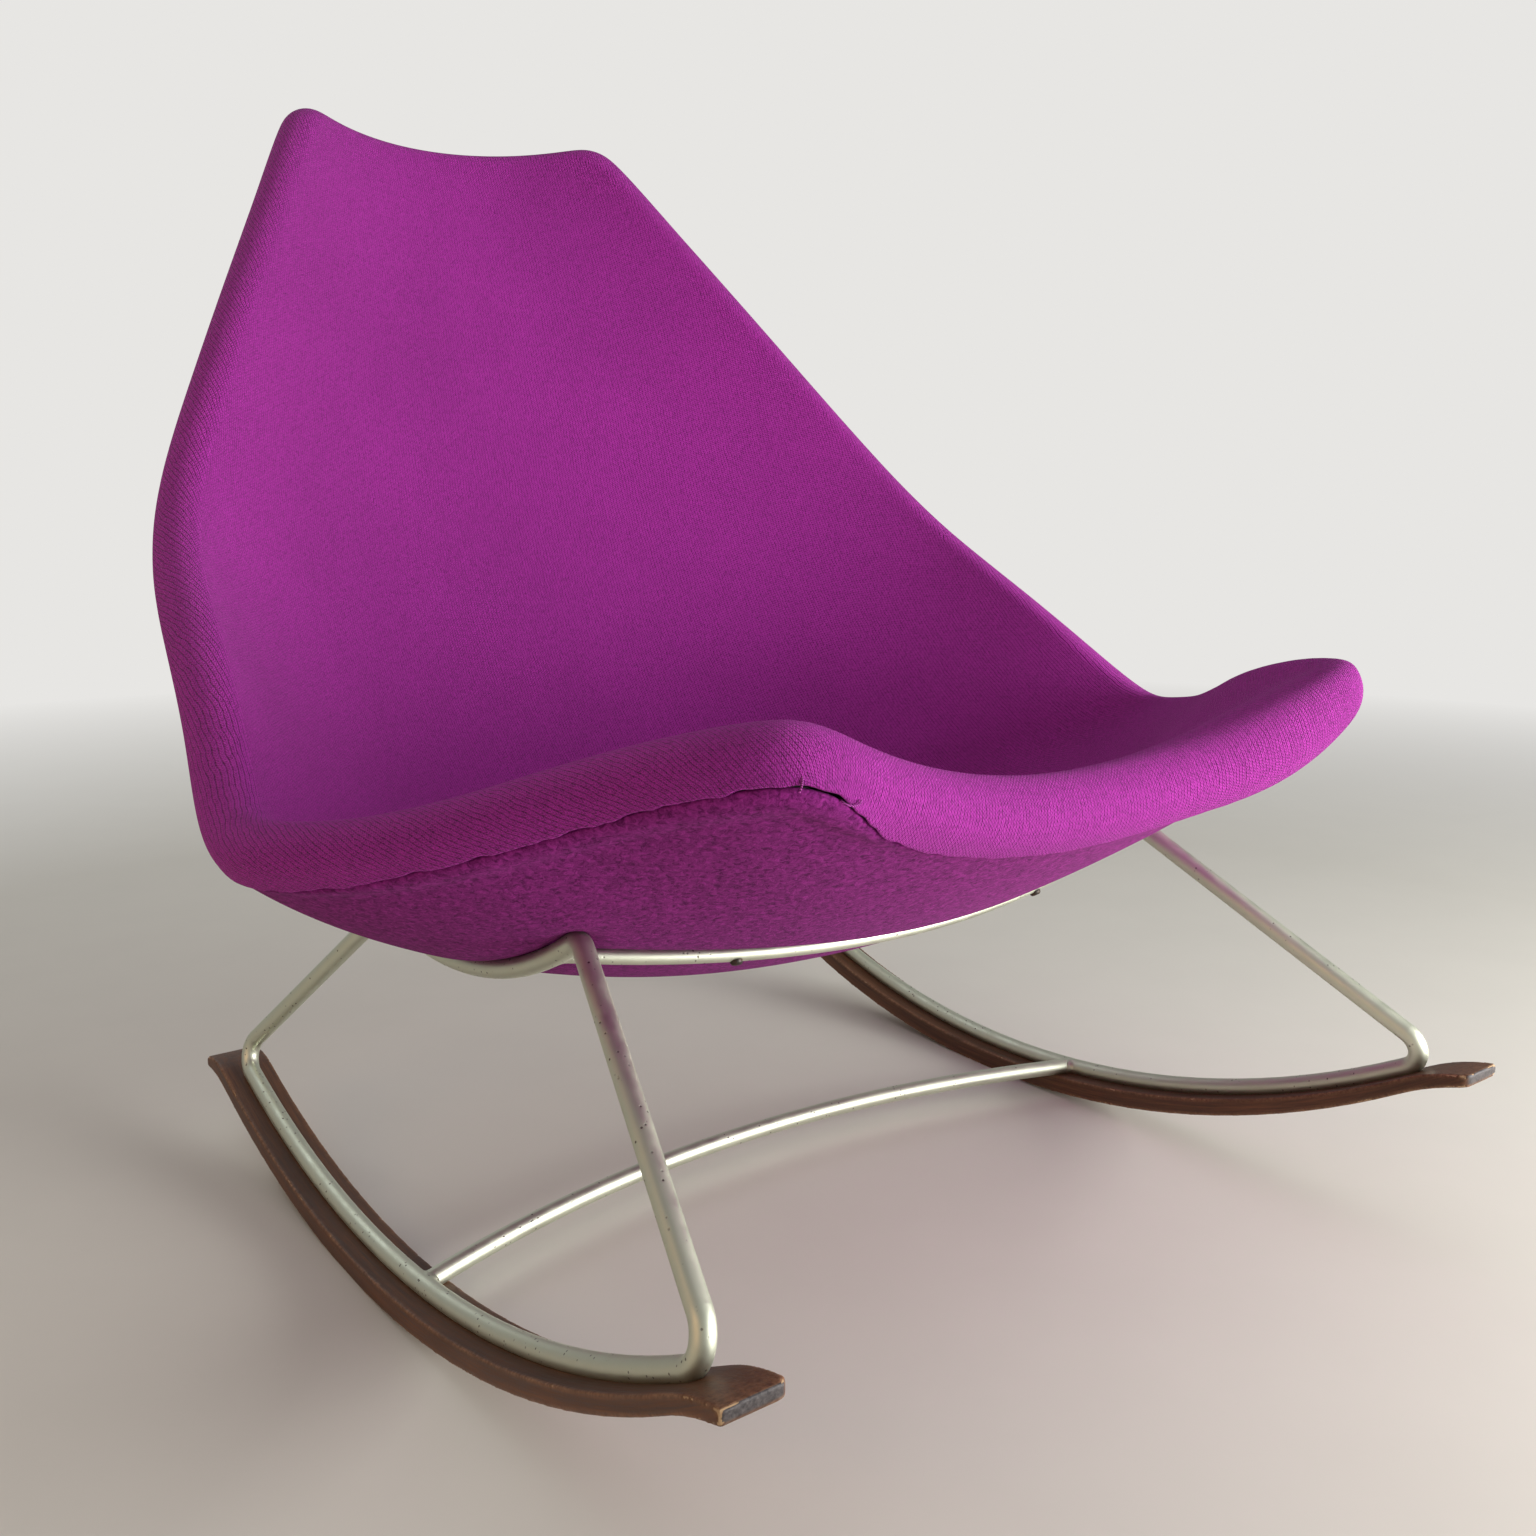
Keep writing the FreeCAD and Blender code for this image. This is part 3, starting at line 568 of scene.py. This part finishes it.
def rounded_place(across, along, inset):
    """Rib number and share of a place on the cut cloth, whose corners are round in plan."""
    pull = (np.abs(across) * np.abs(along)) ** CORNER_POWER / (2 * CORNER_POWER + 1)
    along = along * (1 - pull) * (1 - 2 * inset / FORM_LENGTH)
    rib = np.interp((along + 1) / 2 * FORM_LENGTH, rib_lengths, fine_ribs)
    return rib, across * (1 - pull) * (1 - inset / half_arc(rib))


def sitting_hollow(rib, share):
    """How much lower the sitting side lies than its rims, measured over the middle surface."""
    field = SEAT_HOLLOW + (BACK_HOLLOW - SEAT_HOLLOW) * eased(rib, *BACK_START)
    ends = eased(rib, *FRONT_FADE) * eased(LAST_RIB - rib, *TOP_FADE)
    return field * ends * (1 - share**2) ** HOLLOW_FALL


def cloth_grid(name, cells, inset, height):
    """Grid of cloth laid over the form at a height above its middle surface, with its place in the cut."""
    bpy.ops.mesh.primitive_grid_add(x_subdivisions=cells[0], y_subdivisions=cells[1], size=2)
    piece = bpy.context.object
    piece.name = name
    piece.data.name = name
    flat = np.empty(len(piece.data.vertices) * 3)
    piece.data.vertices.foreach_get("co", flat)
    flat = flat.reshape(-1, 3)
    rib, share = rounded_place(flat[:, 0], flat[:, 1], inset)
    points = form_point(rib, share) + form_up(rib, share) * height(rib, share)[:, None]
    piece.data.vertices.foreach_set("co", (points * MM).ravel())
    cut = np.stack([share * half_arc(rib), np.interp(rib, fine_ribs, rib_lengths), 0 * rib], -1) * MM
    lay = piece.data.attributes.new("cloth_lay", "FLOAT_VECTOR", "POINT")
    lay.data.foreach_set("vector", cut.ravel())
    return piece, flat[:, 0], flat[:, 1], rib, share


def round_the_edge(across, along):
    """The grid's edge vertices in order: front edge from right to left, left side, top edge, right side."""
    front = np.flatnonzero(along < -GRID_EDGE)
    top = np.flatnonzero(along > GRID_EDGE)
    left = np.flatnonzero((across > GRID_EDGE) & (np.abs(along) < GRID_EDGE))
    right = np.flatnonzero((across < -GRID_EDGE) & (np.abs(along) < GRID_EDGE))
    return np.concatenate(
        [
            front[np.argsort(across[front])],
            left[np.argsort(along[left])],
            top[np.argsort(-across[top])],
            right[np.argsort(-along[right])],
        ]
    )


def edge_frame(rib, share):
    """Place, upward and outward directions along the closed edge."""
    place = form_point(rib, share)
    up = form_up(rib, share)
    along = np.roll(place, -1, axis=0) - np.roll(place, 1, axis=0)
    return place, up, unit(np.cross(along, up))


def extrude_edge(piece, edge, rings, lay_rings):
    """Draws the open edge on through rings of points, all in the order of the edge."""
    mesh = piece.data
    number = {tuple(mesh.vertices[vertex].co): count for count, vertex in enumerate(edge)}
    bpy.ops.object.mode_set(mode="EDIT")
    bpy.ops.mesh.select_mode(type="EDGE")
    bpy.ops.mesh.select_all(action="SELECT")
    bpy.ops.mesh.region_to_loop()
    for ring, lay_ring in zip(rings, lay_rings):
        bpy.ops.mesh.extrude_edges_move()
        bpy.ops.object.mode_set(mode="OBJECT")
        lay = mesh.attributes["cloth_lay"].data
        moved = {}
        for vertex in mesh.vertices:
            if vertex.select:
                count = number[tuple(vertex.co)]
                vertex.co = ring[count] * MM
                lay[vertex.index].vector = lay_ring[count] * MM
                moved[tuple(vertex.co)] = count
        number = moved
        bpy.ops.object.mode_set(mode="EDIT")
    bpy.ops.object.mode_set(mode="OBJECT")


def wing_lift(rib, share):
    """How much higher the left-hand rim stands beside its horn."""
    return WING_LIFT * np.exp(-(((rib - WING_RIB) / WING_SPREAD) ** 2)) * eased(share, *NEAR_RIM) ** 2


def nose_droop(rib, share):
    """How much lower the top of the left-hand horn lies at its nose."""
    return NOSE_DROOP * np.exp(-((rib / NOSE_SPREAD) ** 2)) * eased(share, *NEAR_RIM) ** 2


def rim_height(rib, share):
    """Height of the roll's top over the middle surface."""
    return np.interp(rib, ROLL_RIBS, ROLL_HEIGHTS) + wing_lift(rib, share) - nose_droop(rib, share)


def sitting_height(rib, share):
    return rim_height(rib, share) - sitting_hollow(rib, share)


def wavy(run, waves_round, amounts, seed):
    """Uneven wave along a closed edge, made of a few whole-number waves."""
    chance = np.random.default_rng(seed)
    total = 0.0 * run
    for waves, amount in zip(waves_round, amounts):
        total += amount * np.sin(2 * np.pi * (waves * run + chance.random()))
    return total


cover, across, along, rib, share = cloth_grid("top_cover_padded", COVER_CELLS, 0.0, sitting_height)
edge = round_the_edge(across, along)
edge_place, edge_up, edge_out = edge_frame(rib[edge], share[edge])
edge_steps = np.linalg.norm(np.roll(edge_place, -1, axis=0) - edge_place, axis=1)
EDGE_LENGTH = edge_steps.sum()
edge_run = (np.cumsum(edge_steps) - edge_steps) / EDGE_LENGTH
edge_lay = np.stack(
    [share[edge] * half_arc(rib[edge]), np.interp(rib[edge], fine_ribs, rib_lengths), 0 * edge_run], -1
)
lay_way = np.roll(edge_lay, -1, axis=0) - np.roll(edge_lay, 1, axis=0)
lay_out = unit(np.stack([lay_way[:, 1], -lay_way[:, 0], 0 * edge_run], -1))


def near_edge_spot(spot, width):
    """1 at a spot of the edge, given in millimetres along it, falling off to 0 over a width on both sides."""
    away = np.abs((edge_run - spot / EDGE_LENGTH + 0.5) % 1.0 - 0.5) * EDGE_LENGTH
    return np.exp(-((away / width) ** 2))


left_horn_spot = edge_run[COVER_CELLS[0]] * EDGE_LENGTH
fuller = 1 + HORN_FULLNESS * near_edge_spot(left_horn_spot - HORN_FULL_SPOT, HORN_FULL_WIDTH)
roll_height = rim_height(rib[edge], share[edge])
roll_depth = np.interp(rib[edge], ROLL_RIBS, ROLL_DEPTHS) * fuller
roll_reach = np.interp(rib[edge], ROLL_RIBS, ROLL_REACHES) * fuller


def on_roll(turn, past=0.0, proud=0.0):
    """The roll's skin round the edge: turned so far from its top, run on past that, and standing proud."""
    half = np.where(turn < math.pi / 2, roll_height, roll_depth)
    out = edge_out * (roll_reach * np.sin(turn))[:, None]
    up = edge_up * (half * np.cos(turn))[:, None]
    outward = unit(out / roll_reach[:, None] ** 2 + up / half[:, None] ** 2)
    onward = edge_out * (roll_reach * np.cos(turn))[:, None] - edge_up * (half * np.sin(turn))[:, None]
    past, proud = (np.broadcast_to(amount, turn.shape)[:, None] for amount in (past, proud))
    return edge_place + out + up + unit(onward) * past + outward * proud


# Along the bowl's sides and at the horns the seam is drawn up the roll, more on the right-hand side,
# and beside the right-hand horn the sewing has come open
SIDE_PULL = 0.94
LEFT_SHARE = 0.15
HORN_WIDTH = 65.0
OPENING_SPOT = 6.0
OPENING_WIDTH = 12.0
OPENING_BACK = 1.6
OPENING_LIFT = 0.7
SIDE_FADE = (3.5, 6.0)
HORN_EASE = 0.30
HORN_EASE_RIBS = (0.0, 2.0)
PUCKER_WAVES = (61, 97, 163, 251)
PUCKER_AMOUNTS = (0.4, 0.5, 0.55, 0.6)
PUCKER_SEED = 3
at_left_horn = LEFT_SHARE * near_edge_spot(left_horn_spot, HORN_WIDTH)
on_front = np.maximum(near_edge_spot(0.0, HORN_WIDTH), at_left_horn)
on_sides = np.where(share[edge] < 0, 1.0, LEFT_SHARE) * (1 - eased(rib[edge], *SIDE_FADE))
on_sides *= 1 - HORN_EASE * eased(rib[edge], *HORN_EASE_RIBS)
seam_turn = math.pi - SIDE_PULL * np.where(along[edge] < -GRID_EDGE, on_front, on_sides)
opening = near_edge_spot(OPENING_SPOT, OPENING_WIDTH)
pucker = wavy(edge_run, PUCKER_WAVES, PUCKER_AMOUNTS, PUCKER_SEED)

ROLL_STEPS = 11
rings, lay_rings = [], []
for part_way in np.linspace(0, 1, ROLL_STEPS + 1)[1:]:
    rings.append(on_roll(seam_turn * part_way))
    lay_rings.append(edge_lay + lay_out * (roll_reach * seam_turn * part_way)[:, None])
# The hem: how far it runs past the roll's foot, how proud it stands, and how much the pucker shows there
HEM = (
    (3.2, 0.4, 0.3),
    (5.6, 0.6, 1.0),
    (6.8, -0.1, 1.2),
    (6.4, -1.4, 1.0),
    (4.6, -3.2, 0.5),
    (2.0, -4.6, 0.0),
)
HEM_START = 3.0
for past, proud, puckered in HEM:
    run_on = past + pucker * puckered - OPENING_BACK * opening * (past > HEM_START)
    rings.append(on_roll(seam_turn, run_on, proud + opening * (OPENING_LIFT if proud > 0 else 0.0)))
    lay_rings.append(edge_lay + lay_out * (roll_reach * seam_turn + past)[:, None])
extrude_edge(cover, edge, rings, lay_rings)

# The foam's own underside, where it lies on the shell, closes the body
SHELL_TOPS = ((0, 5, 8, 14), (-3.0, -3.0, -13.8, -13.8))
SHELL_LIFTS = ((0, 2, 4, 8), (0.0, 12.0, 12.0, 0.0))
FOAM_GAP = 0.6
FOAM_INSET = 1.5


def foam_foot(rib, share):
    return np.interp(rib, *SHELL_TOPS) + np.interp(rib, *SHELL_LIFTS) * (1 - share**2) + FOAM_GAP


foot = cloth_grid("foam_foot", COVER_CELLS, FOAM_INSET, foam_foot)[0]
bpy.ops.object.mode_set(mode="EDIT")
bpy.ops.mesh.flip_normals()
bpy.ops.object.mode_set(mode="OBJECT")
bpy.context.view_layer.objects.active = cover
cover.select_set(True)
bpy.ops.object.join()
bpy.ops.object.mode_set(mode="EDIT")
bpy.ops.mesh.select_mode(type="EDGE")
bpy.ops.mesh.select_all(action="DESELECT")
bpy.ops.mesh.select_non_manifold()
bpy.ops.mesh.bridge_edge_loops()
bpy.ops.mesh.select_all(action="SELECT")
bpy.ops.mesh.normals_make_consistent(inside=False)
bpy.ops.object.mode_set(mode="OBJECT")
apply_modifier(cover, "SUBSURF", levels=1, render_levels=1)
bpy.ops.object.shade_smooth()

# KNIT_DARK is also the painted shade in the stitch grooves, and KNIT_LIGHT the painted highlight on the
# raised loops
KNIT_DARK = (0.055, 0.0012, 0.048, 1.0)
KNIT_LIGHT = (0.640, 0.040, 0.545, 1.0)
KNIT_FIBRE = (0.66, 0.12, 0.58, 1.0)
WALE = 2.8 * MM
COURSE = 2.3 * MM

knit_wool, tree, shader = new_finish(
    "knit_wool",
    Roughness=0.85,
    Specular_IOR_Level=0.25,
    Sheen_Weight=0.22,
    Sheen_Roughness=0.45,
    Sheen_Tint=(0.95, 0.30, 0.80, 1.0),
)
place = add_node(tree, "ShaderNodeTexCoord").outputs["Object"]
lay = add_node(tree, "ShaderNodeAttribute", attribute_name="cloth_lay").outputs["Vector"]
sway = noise(tree, lay, 55.0, 2.0, 0.5)
parts = add_node(tree, "ShaderNodeSeparateXYZ", {"Vector": lay}).outputs
column = math_node(tree, "MULTIPLY_ADD", parts["X"], 1 / WALE, math_node(tree, "MULTIPLY", sway, 1.4))
row = math_node(tree, "MULTIPLY", parts["Y"], 1 / COURSE)
leg = math_node(tree, "MULTIPLY", math_node(tree, "PINGPONG", column, 0.5), 2.0)
slant = math_node(tree, "ADD", row, leg)
loop = math_node(tree, "SINE", math_node(tree, "MULTIPLY", slant, 2 * math.pi))
rib_side = math_node(tree, "SINE", math_node(tree, "MULTIPLY", leg, math.pi))
# The stitch relief sets the bump and also the colour: painted shade in the grooves between the wales and a
# painted highlight on the raised loops
groove = between(tree, leg, -0.1, 0.35)
stitch = math_node(tree, "MULTIPLY_ADD", loop, 0.42, math_node(tree, "MULTIPLY_ADD", rib_side, 0.35, 0.5))
relief = math_node(tree, "MULTIPLY", math_node(tree, "ADD", stitch, 0.4), groove)
fuzz = noise(tree, place, 1500.0, 2.0, 0.7)
flecks = between(tree, noise(tree, place, 420.0, 2.0, 0.6), 0.32, 0.68)
mottled = math_node(tree, "MULTIPLY_ADD", fuzz, 0.9, math_node(tree, "MULTIPLY", flecks, 0.8))
tone = math_node(tree, "ADD", relief, mottled)
worn = noise(tree, place, 7.0, 3.0, 0.5)
faded = between(tree, worn, -2.1, 1.3)
# shade: the painted stitch shade and highlight with the random mottling, dimmed by the large faded clouds
shade = math_node(tree, "MULTIPLY", between(tree, tone, 0.60, 2.25), faded, clamp=True)
yarn = mix_colours(tree, shade, KNIT_DARK, KNIT_LIGHT)
stray = math_node(tree, "MULTIPLY", between(tree, noise(tree, place, 2600.0, 1.0, 0.5), 0.68, 0.80), 0.5)
tree.links.new(mix_colours(tree, stray, yarn, KNIT_FIBRE), shader.inputs["Base Color"])
height = math_node(tree, "ADD", relief, math_node(tree, "MULTIPLY", fuzz, 0.6))
tree.links.new(bump(tree, height, 0.0010, 0.8), shader.inputs["Normal"])
cover.data.materials.append(knit_wool)
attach(cover, "root")
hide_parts("top_cover", "seat_foam", "back_foam", "edge_roll")


# The underside: thin padding under a felted wool cover, cut to the outside of the bowl and the back,
# its edge turned in and sewn to the knitted cover. The rods and bars of the frame press into it.
FELT_SET_BACK = 0.9
SWELL = 3.0
SWELL_START = (0, 2)
SWELL_END = (6, 4)
FELT_DEPTH = 2.4
ROD_RADIUS = 7.0 * MM
PRESS_GAP = 0.3 * MM
PRESS_STEP = 0.5 * MM
PRESS_DEEPEST = 30.0 * MM
PRESS_SPREAD = 14
SHELL_COVER = 0.9 * MM
SHELL_DEEPEST = 2.5 * MM
SHELL_NEAR = 20.0 * MM


def underside_height(rib, share):
    swell = SWELL * (1 - share**2) * eased(rib, *SWELL_START) * eased(rib, *SWELL_END)
    return FELT_SET_BACK - np.interp(rib, ROLL_RIBS, ROLL_DEPTHS) - swell


FELT_INSET = SEAM_INSET + 5.0
FELT_EDGE = SEAM_INSET + 2.0
FELT_STEPS = (0.35, 0.7, 1.0)
FELT_OPENING = (1.0, 0.6)
# The turned-in edge: past the seam, and proud of the cloth
FELT_TURN_IN = ((0.6, -2.4), (0.2, -4.2), (1.0, -6.0))
felt, across, along, rib, share = cloth_grid("underside_padded", COVER_CELLS, FELT_INSET, underside_height)
edge = round_the_edge(across, along)
rings = []
for part_way in FELT_STEPS:
    turn = math.pi - (math.pi - seam_turn) * part_way
    run_on = FELT_INSET + (FELT_EDGE - FELT_INSET) * part_way + FELT_OPENING[0] * opening
    rings.append(on_roll(turn, run_on, -FELT_SET_BACK - FELT_OPENING[1] * opening))
for past, proud in FELT_TURN_IN:
    run_on = SEAM_INSET + past + FELT_OPENING[0] * opening
    rings.append(on_roll(seam_turn, run_on, proud - FELT_OPENING[1] * opening))
extrude_edge(felt, edge, rings, [edge_lay] * len(rings))
apply_modifier(felt, "SUBSURF", levels=1, render_levels=1)

points, inward = read_points(felt), read_points(felt, "normal")
pressed = np.zeros(len(points))
for name in ("left_side_frame", "right_side_frame", "front_seat_bar", "rear_seat_bar"):
    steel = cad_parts[name].data
    faces = [polygon.vertices for polygon in steel.polygons]
    steel_faces = BVHTree.FromPolygons([vertex.co for vertex in steel.vertices], faces)
    low, high = (np.array(corner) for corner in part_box(name))
    close = np.all((points > low - PRESS_DEEPEST) & (points < high + PRESS_DEEPEST), axis=1)
    for index in np.flatnonzero(close):
        if steel_faces.find_nearest(Vector(points[index]), PRESS_DEEPEST)[0] is None:
            continue
        for depth in np.arange(PRESS_DEEPEST, -PRESS_STEP, -PRESS_STEP):
            place = Vector(points[index] + inward[index] * depth)
            spot, way, face, distance = steel_faces.find_nearest(place)
            clear = (place - spot).dot(way)
            if clear < PRESS_GAP and distance < ROD_RADIUS:
                pressed[index] = max(pressed[index], depth + PRESS_STEP)
                break
mean = neighbour_mean(felt)
hollow = pressed.copy()
for round_number in range(PRESS_SPREAD):
    hollow = np.maximum(pressed, mean(hollow))
points += inward * hollow[:, None]
# The felt lies over the shell everywhere
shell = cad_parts["seat_shell"].data
shell_faces = BVHTree.FromPolygons(
    [vertex.co for vertex in shell.vertices], [polygon.vertices for polygon in shell.polygons]
)
for point in points:
    spot, way, face, distance = shell_faces.find_nearest(Vector(point), SHELL_NEAR)
    if spot is not None:
        clear = (Vector(point) - spot).dot(way)
        if -SHELL_DEEPEST < clear < SHELL_COVER:
            point += np.array(way) * (SHELL_COVER - clear)
move_points(felt, points)
bpy.ops.object.mode_set(mode="EDIT")
bpy.ops.mesh.select_all(action="SELECT")
bpy.ops.mesh.flip_normals()
bpy.ops.object.mode_set(mode="OBJECT")
apply_modifier(felt, "SOLIDIFY", thickness=FELT_DEPTH * MM, offset=-1.0)
bpy.ops.object.shade_smooth()

FELT_DARK = (0.085, 0.0030, 0.068, 1.0)
FELT_LIGHT = (0.345, 0.027, 0.275, 1.0)

felted_wool, tree, shader = new_finish(
    "felted_wool",
    Roughness=0.95,
    Specular_IOR_Level=0.15,
    Sheen_Weight=0.06,
    Sheen_Roughness=0.5,
    Sheen_Tint=(0.85, 0.3, 0.75, 1.0),
)
place = add_node(tree, "ShaderNodeTexCoord").outputs["Object"]
curls = {"Vector": place, "Scale": 260.0, "Detail": 3.0, "Roughness": 0.6, "Distortion": 0.9}
tufts = add_node(tree, "ShaderNodeTexNoise", curls).outputs["Fac"]
hairs = noise(tree, place, 1300.0, 2.0, 0.7)
heather = math_node(tree, "MULTIPLY_ADD", tufts, 0.85, math_node(tree, "MULTIPLY", hairs, 0.3))
tree.links.new(
    mix_colours(tree, between(tree, heather, 0.42, 0.78), FELT_DARK, FELT_LIGHT), shader.inputs["Base Color"]
)
tree.links.new(bump(tree, heather, 0.0012, 0.6), shader.inputs["Normal"])
felt.data.materials.append(felted_wool)
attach(felt, "root")
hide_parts("underside_cover", "underside_padding")


# The loose sewing: where the seam has come open by the right-hand horn, one stitch of the purple sewing
# thread still bridges the gap, and a broken end curls out beside it. Twisted wool thread, a millimetre thick.
THREAD_RADIUS = 0.55
THREAD_TWIST = 1.4 * MM
# Along the edge, past the roll's foot, and proud of the cloth, point by point
STITCH_ROUTE = ((0.0, 1.0, -0.6), (0.5, 2.6, 1.5), (1.0, 5.0, 1.9), (1.5, 7.6, 1.2), (2.0, 9.5, -1.2))
BROKEN_ROUTE = ((18.0, 7.0, -1.5), (20.0, 8.0, 1.6), (25.0, 7.5, 2.8), (29.5, 3.5, 3.0), (30.5, 0.5, 1.2))

sewing_wool, tree, shader = new_finish("sewing_wool", Roughness=0.9, Specular_IOR_Level=0.2)
place = add_node(tree, "ShaderNodeTexCoord").outputs["Object"]
slanted = add_node(tree, "ShaderNodeVectorMath", {0: place, 1: (1.0, 0.6, 1.3)}, operation="DOT_PRODUCT")
turns = math_node(tree, "MULTIPLY", slanted.outputs["Value"], 2 * math.pi / THREAD_TWIST)
twist_relief_and_shade = math_node(tree, "SINE", turns)
# The twist paints shade in the grooves between the plies and lighter tops on them, and it also sets the bump
tree.links.new(
    mix_colours(tree, between(tree, twist_relief_and_shade, -1.0, 1.0), KNIT_DARK, KNIT_FIBRE), shader.inputs["Base Color"]
)
tree.links.new(bump(tree, twist_relief_and_shade, 0.0002, 0.8), shader.inputs["Normal"])

for name, route in (("bridging_stitch", STITCH_ROUTE), ("broken_stitch", BROKEN_ROUTE)):
    bpy.ops.curve.primitive_nurbs_path_add()
    thread = bpy.context.object
    thread.name = name
    for point, (run, past, proud) in zip(thread.data.splines[0].points, route):
        nearest = np.argmin(np.abs(edge_run * EDGE_LENGTH - run))
        point.co = (*(on_roll(seam_turn, past, proud)[nearest] * MM), 1.0)
    thread.data.bevel_depth = THREAD_RADIUS * MM
    thread.data.use_fill_caps = True
    bpy.ops.object.convert(target="MESH")
    bpy.ops.object.shade_smooth()
    thread.data.name = name
    thread.data.materials.clear()
    thread.data.materials.append(sewing_wool)
    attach(thread, "root")
